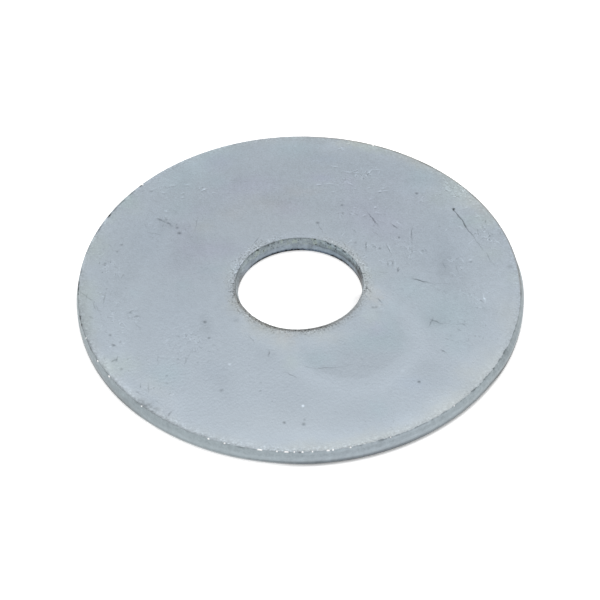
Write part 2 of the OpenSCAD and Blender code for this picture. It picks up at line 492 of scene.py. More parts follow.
        (-8, -4.78, .27, .05, -40, -.09), (-7.2, -5.06, .26, .05, 39, .09), (-6.5, -5.84, .28, .05, -53, -.1),
        (-9.28, -6.81, .39, .05, -88, -.09), (10.78, 7.08, .11, .105, 0, -.3),
        (.5, -7.66, .42, .045, -24, -.12), (1.65, -7.78, .85, .045, 3, -.16), (2.9, -7.62, .5, .04, 14, -.1),
        (4.6, -7.7, 1.5, .03, -7, -.05), (5.15, 6.15, .75, .055, -62, -.26), (6.62, 5.4, .34, .06, -48, -.26),
        (7.75, 4.6, .8, .035, 80, -.15), (8.05, .1, .5, .06, -22, -.28), (9.6, -.22, 1.3, .03, -4, -.08),
        (-9.55, 6.36, .3, .11, -28, -.2), (-8.95, 5.95, .34, .1, -50, -.16), (-7.05, 6, .75, .035, 82, -.14),
        (-9.9, 5, .55, .035, -20, -.14), (9.35, -6.42, .24, .06, -35, -.24),
        (8.65, -3.85, .45, .05, 70, -.16), (9, -3.75, .4, .06, -32, -.2), (10.6, -4.05, 1.6, .025, -4, -.07),
        (10, -5.5, .6, .03, -28, -.1), (10.9, -5.6, .45, .03, 25, -.1), (4.6, 3.5, .42, .05, 88, -.24),
        (6.15, 3.1, .5, .05, -72, -.22), (4.6, -.65, .36, .06, -55, -.24), (5.35, -1.75, .3, .06, -50, -.22),
        (-2.95, 4.1, .45, .045, 62, -.2), (-2.05, -6.4, .25, .06, 85, -.22),
        (-.6, -8.35, .5, .045, -38, -.14), (-.9, -8.2, .4, .035, -30, -.1), (-5, -5.4, .6, .03, -30, -.08),
        (-3.2, -5.1, .45, .04, -55, -.12), (-4.75, -2.45, .5, .03, 0, -.12), (6.7, 1.2, .2, .06, 80, -.22),
        (1.55, 5.2, .45, .04, -70, -.14), (-8.4, -11.6, .36, .07, 60, -.17),
        (-7.3, -6.6, .55, .035, 72, -.12), (-12.2, -6.9, .16, .06, 40, -.2),
    ],
    "glints": [  # light strokes, each with a shadow on its near side
        (2.6, 11.67, .26, .055, -11, .2), (3.71, 11.02, .67, .06, -9, .18), (5.06, 11, .27, .06, 43, .26),
        (5.58, 11.23, .27, .055, -1, .22), (5.79, 10.97, .21, .05, -117, .14),
        (1.48, 9.79, .18, .075, 4, .26), (2.26, 9.84, .24, .06, -9, .2), (3.65, 10.29, .27, .06, 8, .18),
        (3.67, 9.79, .24, .055, -42, .2), (5.73, 8.98, .18, .07, 23, .28), (6.13, 9.02, .19, .065, -11, .24),
        (5.94, 9.29, .16, .06, 11, .2), (3.07, 13.56, .24, .07, 13, .22), (3.66, 14.07, .09, .06, 16, .24),
        (4.56, 6.55, .13, .055, 27, .22), (5.5, 6.76, .22, .05, -24, .16), (5.35, 7.37, .09, .09, 31, .34),
        (2.93, 8.14, .09, .07, 4, .2), (3.96, 7.3, .09, .06, 4, .18), (5.04, 8.2, .09, .06, 3, .18),
        (4.98, 9.36, .1, .065, 9, .22), (4.02, 9.31, .1, .06, 5, .18), (2.46, 9.03, .14, .06, 11, .18),
        (6.11, 7.34, .09, .06, 13, .16), (-10.09, 9.59, .24, .055, 32, .16), (-9.45, 9.19, .21, .06, -7, .18),
        (-8.77, 9.88, .15, .055, 14, .2), (-8.07, 9.08, .19, .06, 26, .22), (-7.78, 9.93, .15, .055, 6, .22),
        (-6.64, 9.41, .24, .07, 32, .34), (-5.96, 9.09, .09, .06, 3, .18), (-9.21, 7.24, .12, .075, -12, .24),
        (-10.09, 8.61, .22, .055, -55, .12), (-8.09, 8.66, .11, .055, 29, .2),
        (10.52, 9.69, .09, .09, -17, .15), (10.84, 9.28, .09, .08, -11, .15),
        (11.04, 8.86, .09, .07, -25, .2), (11.37, 8.65, .13, .075, -18, .15),
        (11.7, 8.32, .09, .07, -22, .15), (10.68, 8.96, .09, .08, -14, .2), (11.25, 9.16, .1, .08, -13, .15),
        (10.26, 10.22, .1, .08, -12, .2), (12.01, 7.91, .1, .075, -15, .2), (12.2, 7.5, .09, .07, -19, .2),
        (11.69, 7.21, .09, .06, -16, .16), (12.53, 5.27, .09, .06, -23, .18),
        (12.32, 6.29, .09, .06, -17, .18),
    ],
    "dots": [  # pits and bright points: x, y, radius, strength
        (7.62, -9.1, .13, -.34), (8.3, 8.68, .14, -.3), (1.32, 5.85, .15, -.3), (-8.38, 5.55, .13, -.26),
        (-8.2, 5.02, .15, -.34), (-6.28, -3.48, .13, -.26), (-5.98, -4.95, .12, -.24),
        (-12.05, -6.8, .12, -.2), (-1.08, -12.42, .12, -.3), (.15, -12.58, .14, -.26), (.2, -12.2, .1, -.16),
        (3.05, 7.6, .12, -.22), (-12.25, -5.5, .14, -.26), (-12.5, -4.6, .1, -.2), (-5.1, -9.6, .15, -.18),
        (8.45, 2.95, .1, -.2), (-2.6, -9.7, .09, -.16), (-2.6, -8.95, .08, -.12), (-4.2, -3.4, .26, -.1),
        (6.6, -8.12, .13, .1), (-4.6, -7.3, .12, .22), (.12, -11.02, .1, .55), (-1.85, -10.6, .08, -.12),
        (-12.15, 3.95, .12, -.22), (-12.4, 3.3, .1, -.2), (-13.2, 2.1, .14, -.2), (5.1, -2.35, .11, -.24),
        (-11.9, 1, .1, -.14), (-10.3, 9.3, .12, -.18), (9.7, 5.3, .08, -.12), (5.54, 3.24, .12, -.24),
        (6.89, 4.29, .11, -.22), (6.88, 4.01, .1, .1), (6.17, 1.73, .11, .12), (3.89, 3.83, .12, -.16),
        (4.87, -2.36, .12, -.2), (-12.49, -4.51, .11, -.12), (-11.62, -7.61, .11, -.2),
        (11.66, 1.79, .11, -.2), (11.64, 2, .11, .18), (12.34, -1.69, .09, .26), (14.28, 1.26, .22, -.14),
        (-10.24, -10.46, .26, -.16), (-9.72, -10.81, .26, -.18), (-9.26, -11.16, .24, -.16),
        (-10.01, -10.76, .2, -.12), (-8.66, -8.27, .1, -.16), (-8.61, -8.94, .1, -.09),
        (-7.99, -6.82, .1, -.16), (-6.82, -6.1, .1, -.14), (-11.22, -2.56, .12, -.16),
        (-10.81, -2.85, .12, -.14),
    ],
    "squiggles": [  # areas of fine curled marks
        (4.4, 11.1, 2.4, 1.1, 1), (4, 10.2, 2.6, 1, 15, .8), (5.6, 9.2, 1.4, 1, .7), (3.2, 13.6, .8, .5, 1),
        (-8.8, 9.3, 2.2, .9, 1), (-9.4, 6, 1.6, 1.4, .5), (-1.4, 8.8, 1.6, .9, .45), (-6.6, 9.6, .7, .5, 1),
        (11.3, 9, 2, 2.2, -30, 1.3), (6.3, 2.8, 1, 1.6, .5), (12.8, 4.1, 1.3, 2, 1.1),
        (9.2, 7.7, 1.8, 1.4, .75), (3.6, 6.6, 2.2, 1, .5), (11.5, 1.8, 1.2, 1.2, .8),
        (6.7, -1.7, 1.6, 1.4, .35), (-9, -1.4, 1.8, 1.4, .35), (-12.8, 1.5, 1.2, 2.2, .6),
        (-9, -9.9, 1.6, .9, .6), (5, 2.6, 1.2, 2.4, .9), (-12, -3, 2.4, 2.4, .8), (10.4, 1.3, 1.2, 1.4, 1),
        (-7.4, -5.4, 2.6, 1.6, .8), (12.2, -1.6, 1.6, 1.8, .6), (7.2, 3, 2.8, 2.8, .55),
        (10.1, -.8, 2.6, 2.2, .35),
    ],
    "flecked": [  # areas with more flecks
        (-13.2, 0, 2.4, 7.5, 1), (-12, -6, 2.6, 4, 20, .8), (11.4, -4.6, 4, 3.4, .7),
        (4.6, 6, 4.2, 3.4, -25, .8), (12.8, 6, 2.2, 5, 25, .9), (-9, 6, 3.6, 3.4, .6),
        (-7.6, -5.8, 4.2, 2.6, .5), (-10, -9.6, 2.6, 1.6, -45, .8), (6, -12.5, 5, 2, 25, .4),
        (6.2, -2, 2, 3, .4),
    ],
    "sparkles": [  # degrees round the rim, half length: painted highlights on the crest
        (-113.2, .09), (-109, .08), (-100.2, .22), (-96, .07), (-93.7, .19), (-91.8, .06), (-89.8, .08),
        (-87.4, .06), (-83.6, .14), (-82.4, .07), (-78.1, .07), (-67.8, .08), (-48.9, .06), (-161.2, .06),
        (-152.5, .1), (-146.4, .1), (-133.2, .06), (137.6, .08), (68.5, .07),
    ],
    "edgeDashes": [  # degrees round the rim, half length, strength: torn, shaded spots
        (-179, .45, -.8), (-177.2, .16, -.7), (-168.6, .3, -.7), (-166, .18, -.5), (-157, .3, -.25),
        (-153, .25, -.22), (-148, .5, -.08), (-135, .3, -.14), (-109, .16, -.35), (-105, .3, -.25),
        (-90.5, .2, -.35), (-56, .12, -.26), (-54.4, .12, -.28), (-46.5, .2, -.18), (-41.5, .25, -.26),
        (-39, .12, -.32), (-37, .12, -.26), (-32.8, .12, -.32), (-26.5, .12, -.2), (-18.2, .12, -.26),
        (-5, .6, -.3), (-10, 1.2, -.1), (-15.5, .8, -.08), (34, .6, -.25), (52, 1, -.3), (61, .8, -.25),
        (65.5, .7, -.25), (72, .7, -.18), (78, .5, -.15), (100, .6, -.15), (108, .4, -.15), (138.2, .25, -.8),
        (142, .6, -.45), (146, .6, -.5), (152.4, .4, -.95), (149.5, 1, -.5), (158, 1.2, -.6), (166, 1, -.3),
        (174.5, .5, -.35), (179, .4, -.8),
    ],
    "drawn": {  # how much longer, wider and stronger the rows are drawn
        "scratches": (1.6, 1.4, 1.8), "glints": (1.6, 1.5, 1.25), "dots": (1.5, 1.5, 1.4),
    },
    "glintShadow": (.03, -.15, -.55),  # its offset, and its strength as a share of the stroke's
    "darkFlecks": [  # short dashes: size, turn, stretch, share of cells, seed
        (.52, 84, 2.4, .42, 3.1), (.6, -38, 2.8, .32, 7.7),
    ],
    "lightFlecks": (.5, 20, 1.8, .3, 5.3),
    "farFlecks": (.3, 15, 1.4, .5, 9.1),  # small light ones, on the far part
    "hairs": [(78, 61), (-30, 63)],  # thin brushed lines: turn, seed
    "strengths": {
        "darkFlecks": .26, "lightFlecks": .2, "farFlecks": .2, "hairs": .16, "curls": .38, "curlShade": .9,
        "fine": .018, "fineAway": .145, "fineFar": .085, "fineRight": .1,
        "medium": .022, "mediumAway": .05, "broad": .015,
    },
    "noises": {  # size, seed, detail, roughness, distortion
        "fine": (.11, 3, 2, .7), "medium": (.45, 4, 2, .6), "broad": (2.6, 6, 2, .5),
        "curls": (.42, 21, 2, .6, .6), "curlAreas": (.8, 27, 1),
        "collarEdge": (.5, 31, 2), "collarGrain": (.13, 33, 2, .7),
        "rimBand": (2.2, 5, 2), "rimEdge": (.4, 35, 2), "rimGrain": (.16, 37, 2, .7),
        "rimLumps": (.3, 39, 2), "rimYellow": (.8, 53, 2),
        "wallGrain": (.14, 41, 3, .7), "wallStreaks": (.16, 43, 2, .6), "wallLumps": (.42, 47, 1),
        "pits": (.16, 45, 2, .6), "tornCrest": (.2, 48, 2, .6), "blotches": (.34, 49, 2, .6),
        "underside": (3, 51, 3),
    },
    "sides": {  # degrees, cosines at which a side starts and is full, amount
        "collarWear": [(165, .3, .85, 1), (-115, -.1, .8, .8), (18, .5, .9, .7)],
        "collar": [(-173, .85, .97, -.12), (168, .94, .99, .08)],
        "ring": [(-153, .8, .97, -.18), (-28, .7, .94, -.27)],
        "rimEdge": [(-108, .3, .8, .03), (-170, .96, .99, -.1)],
        "rimWall": [(-152, .8, .97, -.05), (-14, .91, .985, -.06)],
        "boreWall": [
            (152, .85, .98, -.04), (173, .95, .99, -.27), (130, .93, .99, -.06),
            (60, .45, .9, -.08), (33, .85, .99, -.09), (3, .9, .99, -.48)],
        "boreMiddle": [(44, .75, .97, -.27), (80, .8, .97, -.06)],
        "boreCrest": [(35, .6, .9, .32), (95, .6, .9, .24)],
        "boreFootShade": [(115, .8, .97, .21), (30, .7, .95, .13)],
        "rimWarmth": [(-150, .3, .9, 1), (-10, .5, .95, 1)],
        "rimYellow": [(-105, -.4, .5, 1), (75, .5, .95, 1)],
    },
    "collarBands": [  # share of the grain, radii, then as in sides
        (.2, 5.1, 4.5, -52, .6, .92, -.1), (0, 5.02, 4.88, -121, .975, .995, -.08),
        (.25, 4.95, 4.5, 95, 0, .5, .055),
    ],
    "rimBands": [  # heights where a band starts and is full, amount, sides; the low bands are painted shade along the rim's foot, and the band at the crest on the left is painted shade under the burr's lip
        (.5, .3, -.1, [
            (-60, .6, .95, -.24), (-162, .8, .96, -.16), (-110, .9, .98, -.1), (-50, .96, .99, .08)]),
        (1.1, 1.22, 0, [(-174, .92, .985, -.22)]),
        (1, .6, 0, [(-158, .85, .97, -.14), (-28, .93, .99, -.06)]),
        (.62, .32, 0, [(-14, .91, .985, -.24)]),
        (.92, 1.08, 0, [(-70, .9, .98, .08)]),
    ],
    "boreBands": [
        (.62, .86, .2, [(78, .7, .96, .15)]),
        (.85, .55, 0, [(163, .96, .995, -.16)]),
    ],
    # the sheared walls are darker than the face: duller torn steel, and in the bore partly painted shade
    "wallTone": {"rim": -.21, "bore": -.395},
    "partTints": {  # colours of single parts, as shares of the base
        "boreBroken": (.99, 1.01, .972),
        "collar": (1.03, .99, .925),
        "boreLand": (.965, 1.0, 1.025),
        "boreRight": (.965, 1.008, 1.022),
        "boreFootShade": (.90, 1.0, 1.13),
        "boreOlive": (1.08, 1.08, .97),
        "rimWall": (.99, 1.005, .955),
        "farLine": (1.06, 1.0, .93),
        "ring": (1.04, 1.0, .96),
        "rimYellow": (1.018, 1.003, .972),
    },
}
rowsPerGroup = 40  # patches in one node group


def softPatch(net, place, row):
    # an ellipse that fades out evenly from its middle
    x, y, long, wide, *turn, strength = row
    local = net.patchPlace(place, (x, y), turn[0] if turn else 0, (long, wide))
    share = net.node("ShaderNodeTexGradient", {"gradient_type": "SPHERICAL"}, {"Vector": local}, out="Fac")
    return net.node("ShaderNodeMapRange", smoothRange, {"Value": share, "To Max": strength})


def patchGroup(rows):
    # the patches of some rows, added up in a node group
    group = bpy.data.node_groups.new("patches", "ShaderNodeTree")
    group.interface.new_socket("Place", in_out="INPUT", socket_type="NodeSocketVector")
    group.interface.new_socket("Sum", in_out="OUTPUT", socket_type="NodeSocketFloat")
    net = Net(group)
    place = net.node("NodeGroupInput")
    patches = [softPatch(net, place, row) for row in rows]
    net.node("NodeGroupOutput", {}, {0: sum(patches[1:], patches[0])})
    return group


def patchSum(net, place, rows):
    # split into groups, because a large tree takes long to build
    groups = [patchGroup(rows[start:start + rowsPerGroup]) for start in range(0, len(rows), rowsPerGroup)]
    parts = [net.node("ShaderNodeGroup", {"node_tree": group}, {"Place": place}) for group in groups]
    return sum(parts[1:], parts[0])


def onCrest(degrees, long, wide, strength):
    # a patch's row, on the rim's top edge, and a little further in on the far side, where the edge hides it
    out, widen = (14.83, 1.5) if 0 < degrees < 175 else (14.88, 1.0)
    x, y, _ = sideWay(degrees)
    return out * x, out * y, long, wide * widen, degrees + 90, strength


def drawnRows(kind, rows):
    # patches are drawn larger and stronger than the marks look, because they fade out
    longer, wider, stronger = zincPlate["drawn"][kind]
    return [(x, y, long * longer, wide * wider, turn, depth * stronger)
            for x, y, long, wide, turn, depth in rows]


def flecks(net, place, size, turn, stretch, share, seed):
    # short dashes along one direction, in a share of the cells
    local = net.patchPlace(place, (seed, seed * 0.7), turn, (size * stretch, size))
    cells = net.node("ShaderNodeTexVoronoi", {"voronoi_dimensions": "2D"}, {"Vector": local, "Scale": 1.0})
    pick = net.axes(Value(net, cells.socket.node.outputs["Color"]))
    width = 0.06 + pick[1] * 0.10
    return net.fade(cells / width, 1.0, 0.4) * net.fade(pick[0], 1.0 - share, 1.0 - share + 0.02)


class Spot:
    # a point of the washer as the finish sees it, in millimetres, with what the parts of the finish share
    def __init__(self, net):
        self.net = net
        self.place = net.node("ShaderNodeTexCoord", out="Object") * (1.0 / mm)
        self.x, self.y, self.z = net.axes(self.place)
        self.flat = net.vector(self.x, self.y)
        self.radius = net.length(self.flat)
        self.outward = self.flat / net.most(self.radius, 0.1)
        self.face = net.fade(self.stored("face"), 0.0, 0.4)  # the burr's slope looks as the face does
        self.wall = 1.0 - self.face
        side = self.stored("side")
        self.atRim, self.inBore = net.clamp(side), net.clamp(-side)
        self.rise = self.stored("rise") * (1.0 / mm)
        self.broken = net.fade(self.rise, 0.62, 0.86)
        # painted shade along the foot of the bore's wall, where it meets the floor
        self.boreFootShade = net.fade(self.rise, 0.44, 0.22)
        self.away = net.fade(self.y, -13.0, 5.0)
        self.bend = self.warp(8.0, 3.0)
        self.jitter = self.flat + self.bend * (0.22, 0.22, 0.0)
        self.fine, self.medium = self.lumps("fine", self.place), self.lumps("medium", self.place)
        self.grain = self.lumps("wallGrain", self.place)
        self.streaks = self.lumps("wallStreaks", net.vector(self.x, self.y, self.z * 0.12))
        self.blotches = self.lumps("blotches", self.place)
        self.speck, self.rimGrain = self.lumps("collarGrain"), self.lumps("rimGrain")
        # The bore's own axis is shifted, and its broken edge opens less on one side
        shiftWay = sideWay(math.degrees(washerForm["Shift towards"]))
        shift = [washerForm["Bore shift"] / mm * part for part in shiftWay]
        fromAxis = net.length(self.flat - shift)
        self.fromBore = fromAxis + self.towards(-20, -0.2, 0.9) * (washerForm["Bore lean"] / mm)
        self.smear = net.fade(self.fromBore + self.lumps("collarEdge") * 0.5, 5.3, 4.4)
        self.wear = 0.25 + net.clamp(self.bySides("collarWear")) * 0.75
        self.ring = net.fade(self.fromBore + self.speck * 0.12, 4.68, 4.46) * net.fade(self.z, 1.10, 1.17)
        self.ring = self.ring * self.towards(-100, -0.1, 0.5)
        farSide = self.towards(42, 0.62, 0.78) * net.fade(self.z, 1.0, 1.15)
        self.farLine = net.fade(self.radius, 14.73, 14.84) * farSide

    def stored(self, name):
        return self.net.node("ShaderNodeAttribute", {"attribute_name": name}, out="Fac")

    def warp(self, seed, scale, detail=1.0):
        # about -0.5 to 0.5 along each axis
        return self.net.node("ShaderNodeTexNoise", {"noise_dimensions": "4D"}, {
            "Vector": self.flat, "W": seed, "Scale": scale, "Detail": detail}, out="Color") - 0.5

    def lumps(self, name, place=None):
        return self.net.noise(place or self.flat, *zincPlate["noises"][name])

    def towards(self, degrees, start, end):
        # 1 on the side of the washer that faces this way
        return self.net.fade(self.net.dot(self.outward, sideWay(degrees)), start, end)

    def bySides(self, rows):
        # what each side gets, added up
        rows = zincPlate["sides"][rows] if isinstance(rows, str) else rows
        parts = [self.towards(degrees, start, end) * amount for degrees, start, end, amount in rows]
        return sum(parts[1:], parts[0])

    def byBands(self, bands):
        # what each band of heights gets, all round and by sides
        parts = [self.net.fade(self.rise, low, full) * (self.bySides(rows) + amount)
                 for low, full, amount, rows in bands]
        return sum(parts[1:], parts[0])


def faceTone(spot):
    # light and dark areas of the face, as a share of the base colour
    net, look = spot.net, zincPlate
    loose = spot.flat + spot.warp(2.0, 0.7, 2.0) * (1.3, 1.3, 0.0)
    tone = patchSum(net, loose, look["shades"])
    x, y, arcRadius, arcWidth, arcStrength = look["arc"]
    apart = loose - (x, y, 0.0)
    ring = net.fade(abs(net.length(apart) - arcRadius), arcWidth, 0.0)
    tone = tone + ring * net.fade(net.dot(apart, sideWay(look["arcOpens"])), 3.2, 1.0) * arcStrength
    x, y, poolRadius, poolStrength = look["pool"]
    inside = net.fade(net.length(loose - (x, y, 0.0)), poolRadius, poolRadius - 0.6)
    x, y, near, far = look["poolEdge"]
    tone = tone + inside * net.fade(net.length(loose - (x, y, 0.0)), near, far) * poolStrength
    # a lighter band along the rim: painted reflection, as if the face dropped slightly at its edge
    band = net.fade(spot.radius + spot.lumps("rimBand") * 0.9, 12.0, 14.8)
    return tone + band * 0.035


def faceMarks(spot, dashes):
    # scratches, glints, pits, flecks, brushed lines and curls
    net, look = spot.net, zincPlate
    strength = look["strengths"]
    marks = patchSum(net, spot.jitter, drawnRows("scratches", look["scratches"]))
    lights = drawnRows("glints", look["glints"])
    aside, nearer, share = look["glintShadow"]
    shadows = [(x + aside, y + nearer, long, wide, turn, depth * share)
               for x, y, long, wide, turn, depth in lights]
    marks = marks + patchSum(net, spot.jitter, lights + shadows)
    rounds = [(x, y, radius, radius, 0, depth) for x, y, radius, depth in look["dots"]]
    marks = marks + patchSum(net, spot.flat, drawnRows("dots", rounds))
    flecked = net.clamp(patchSum(net, spot.flat, look["flecked"])) * 0.85 + 0.15
    light = flecks(net, spot.jitter, *look["lightFlecks"]) * strength["lightFlecks"]
    farLight = flecks(net, spot.jitter, *look["farFlecks"]) * spot.away * strength["farFlecks"]
    marks = marks + (light + farLight - dashes * strength["darkFlecks"]) * flecked
    for turn, seed in look["hairs"]:
        brushed = net.patchPlace(spot.jitter, (0.0, 0.0), turn, (1.6, 0.11))
        hair = net.fade(abs(net.noise(brushed, 1.0, seed, 1.0)), 0.035, 0.0)
        hair = hair * net.fade(net.noise(spot.flat, 1.1, seed + 1.0, 1.0), 0.02, 0.22)
        marks = marks - hair * flecked * strength["hairs"]
    curl = spot.lumps("curls")
    curls = net.fade(abs(curl), 0.07, 0.0) - net.fade(abs(curl - 0.12), 0.08, 0.0) * strength["curlShade"]
    curls = curls * net.fade(spot.lumps("curlAreas"), -0.05, 0.25)
    return marks + curls * net.clamp(patchSum(net, spot.jitter, look["squiggles"])) * strength["curls"]


def boreCollar(spot):
    # torn grains on the face round the bore
    net, speck, smear = spot.net, spot.speck, spot.smear
    grains = speck * 0.60 - net.fade(speck, -0.05, -0.30) * 0.45 + net.fade(speck, 0.10, 0.34) * 0.18
    collar = smear * (grains * spot.wear + spot.bySides("collar"))
    for grainy, start, full, degrees, low, high, amount in zincPlate["collarBands"]:
        band = net.fade(spot.fromBore + speck * grainy, start, full)
        collar = collar + band * spot.towards(degrees, low, high) * amount
    collar = collar + smear * net.fade(spot.fromBore, 4.50, 4.65) * spot.towards(-14, 0.96, 0.99) * 0.06
    contrast = net.fade(speck, 0.10, 0.30) * 0.10 - net.fade(speck, -0.10, -0.30) * 0.12
    collar = collar + smear * spot.towards(32, 0.55, 0.9) * contrast
    return collar + smear * spot.towards(145, 0.85, 0.97) * net.fade(speck, 0.12, 0.30) * 0.25


def rimEdge(spot):
    # the uneven band of the face beside the rim's crest
    net, grain = spot.net, spot.rimGrain
    edge = net.fade(spot.radius + spot.lumps("rimEdge") * 0.3, 14.0, 14.8)
    wear = 0.20 + spot.towards(-108, 0.3, 0.8) * 0.70
    flakes = net.fade(spot.radius + grain * 0.4, 14.45, 14.70) * wear
    tone = edge * (grain * 0.36 + spot.lumps("rimLumps") * 0.20 * wear + spot.bySides("rimEdge"))
    return tone + flakes * (net.fade(grain, 0.08, 0.30) * 0.14 - net.fade(grain, -0.08, -0.30) * 0.16)


def rimWall(spot):
    look = zincPlate
    crest = spot.net.fade(spot.rise, 1.10, 1.22)
    tone = spot.streaks * 0.05 + spot.grain * (0.13 + spot.broken * 0.12)
    tone = tone + spot.lumps("wallLumps", spot.place) * 0.12 + spot.byBands(look["rimBands"])
    # the notch term is painted shade in the torn notches of the crest
    return tone + spot.bySides("rimWall") - spot.stored("notch") * crest * 0.05 + look["wallTone"]["rim"]


def boreWall(spot):
    # the bore wall's darker tone is partly duller torn steel and partly painted shade of the bore
    net, look, rise = spot.net, zincPlate, spot.rise
    pits = net.fade(spot.lumps("pits", spot.place), 0.16, 0.42) * spot.broken
    tone = spot.streaks * 0.12 + spot.blotches * 0.22 + spot.grain * 0.48 * spot.broken
    tone = tone - pits * (0.30 + spot.towards(95, 0.5, 0.9) * 0.35)
    tone = tone + spot.byBands(look["boreBands"]) + spot.bySides("boreWall")
    tone = tone + net.fade(rise, 0.60, 0.75) * net.fade(rise, 1.05, 0.90) * spot.bySides("boreMiddle")
    torn = net.fade(spot.lumps("tornCrest", spot.place), 0.04, 0.24) * net.fade(rise, 0.95, 1.12)
    tone = tone - torn * (0.10 + spot.bySides("boreCrest"))
    # painted shade at the bore's foot, darker and bluer
    paintedFootShade = spot.boreFootShade * (0.29 + spot.bySides("boreFootShade")) * (1.0 + spot.grain * 1.8)
    return tone - paintedFootShade + look["wallTone"]["bore"]


def plateTone(spot, marks, dashes):
    # how light each place is, as a share of the base colour
    net, look = spot.net, zincPlate
    strength = look["strengths"]
    toRight = net.fade(spot.x, 8.0, 13.0) * spot.away * 0.5
    fine = spot.away * strength["fineAway"] + net.fade(spot.y, 4.0, 10.0) * strength["fineFar"]
    fine = fine + toRight * strength["fineRight"] + strength["fine"]
    medium = (spot.away + toRight) * strength["mediumAway"] + strength["medium"]
    mottle = spot.fine * fine + spot.medium * medium + spot.lumps("broad", spot.place) * strength["broad"]
    onFace = faceTone(spot) + marks + boreCollar(spot) + rimEdge(spot)
    underneath = spot.lumps("underside") * 0.05 - dashes * 0.10
    onWall = spot.atRim * rimWall(spot) + spot.inBore * boreWall(spot)
    onWall = onWall + (1.0 - spot.atRim - spot.inBore) * underneath
    dashRows = [onCrest(degrees, long, 0.11, depth) for degrees, long, depth in look["edgeDashes"]]
    torn = patchSum(net, spot.flat, dashRows)
    tone = 1.0 + mottle + spot.face * onFace + spot.wall * onWall + torn * net.fade(spot.z, 1.05, 1.16)
    tone = tone - spot.ring * (0.52 + spot.bySides("ring") + spot.speck * 0.5)
    return tone - spot.farLine * (0.30 + spot.rimGrain * 0.6)


def plateTint(spot):
    # the base colour, turned by the film on the face and by the look of each edge
    net, look = spot.net, zincPlate
    tinted = net.mix(look["base"], look["base"], 0.0)
    drift = spot.flat + spot.bend * (1.2, 1.2, 0.0)
    for tint, rows in look["tints"].values():
        tinted = net.mix(tinted, tinted * tint, net.clamp(patchSum(net, drift, rows)) * spot.face)
    boreWalled = spot.inBore * spot.wall
    warm = net.clamp(boreWalled * spot.broken)
    cleaner = spot.towards(140, 0.3, 0.9) * 0.6 + spot.towards(174, 0.90, 0.98) * 0.4
    yellow = net.fade(spot.radius + spot.lumps("rimYellow") * 0.5, 13.9, 14.8) * spot.face
    parts = {
        "boreBroken": warm,
        "collar": spot.smear * spot.face * net.clamp(spot.wear - cleaner),
        "boreLand": net.clamp(boreWalled * (1.0 - spot.broken)),
        "boreRight": boreWalled * spot.towards(40, 0.75, 0.95),
        "boreFootShade": boreWalled * spot.boreFootShade,
        "boreOlive": warm * net.fade(spot.blotches, 0.0, 0.25) * spot.towards(95, 0.4, 0.85),
        "rimWall": net.clamp(spot.atRim * spot.wall) * (0.5 + 0.5 * net.clamp(spot.bySides("rimWarmth"))),
        "farLine": spot.farLine,
        "ring": net.clamp(spot.ring),
        "rimYellow": yellow * net.clamp(spot.bySides("rimYellow")),
    }
    for name, amount in parts.items():
        tinted = net.mix(tinted, tinted * look["partTints"][name], amount)
    return tinted


def zincFinish():
    look = zincPlate
    material = bpy.data.materials.new("zincPlate")
    material.use_nodes = True
    net = Net(material.node_tree)
    spot = Spot(net)
    dark = [flecks(net, spot.jitter, *row) for row in look["darkFlecks"]]
    dashes = dark[0] + dark[1]
    marks = faceMarks(spot, dashes)
    shade = plateTint(spot) * plateTone(spot, marks, dashes)
    # Painted highlights: sparkles along the front crest, mixed towards white
    crestHighlightRows = [onCrest(degrees, long, 0.08, 1.0) for degrees, long in look["sparkles"]]
    crestHighlights = net.clamp(patchSum(net, spot.flat, crestHighlightRows) * 2.5) * net.fade(spot.z, 1.12, 1.18)
    # Painted reflection: the rolled foot at the front left is whitened as if it mirrored the white floor
    footFloorReflection = net.fade(spot.rise, 0.34, 0.18) * spot.towards(-115, 0.90, 0.97) * 0.36
    footFloorReflection = footFloorReflection * spot.atRim * spot.wall
    shade = net.mix(shade, (1.0, 1.0, 1.0), net.clamp(crestHighlights + footFloorReflection))

    rough = look["roughness"] + spot.medium * 0.02 + net.clamp(-marks) * 0.25 + spot.wall * 0.06
    rough = rough + spot.broken * spot.wall * 0.10 + spot.smear * spot.face * 0.10
    # The height stays short, because Cycles works it out three times over
    height = spot.smear * spot.face * spot.speck * 0.006 + spot.broken * spot.grain * 0.006
    height = spot.fine * 0.0003 + height
    bump = net.node("ShaderNodeBump", {}, {"Strength": 1.0, "Distance": 1.0, "Height": height * mm})
    shader = net.node("ShaderNodeBsdfPrincipled", {}, {
        "Base Color": shade, "Metallic": 1.0, "Roughness": rough, "Normal": bump})
    net.node("ShaderNodeOutputMaterial", {}, {"Surface": shader})
    return material


finish = zincFinish()
section = sectionLoop(halfSection(washerSize, sectionShape))
addTree(section, washerTree(), {**washerForm, "Finish": finish})
washer = asPlainMesh(section, "zincWasher")
washer.data.shade_smooth()
washer.data.set_sharp_from_angle(angle=math.radians(40))
print("washer:", len(washer.data.vertices), "points,", len(washer.data.polygons), "faces")

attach(washer, "root")
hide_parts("washer")


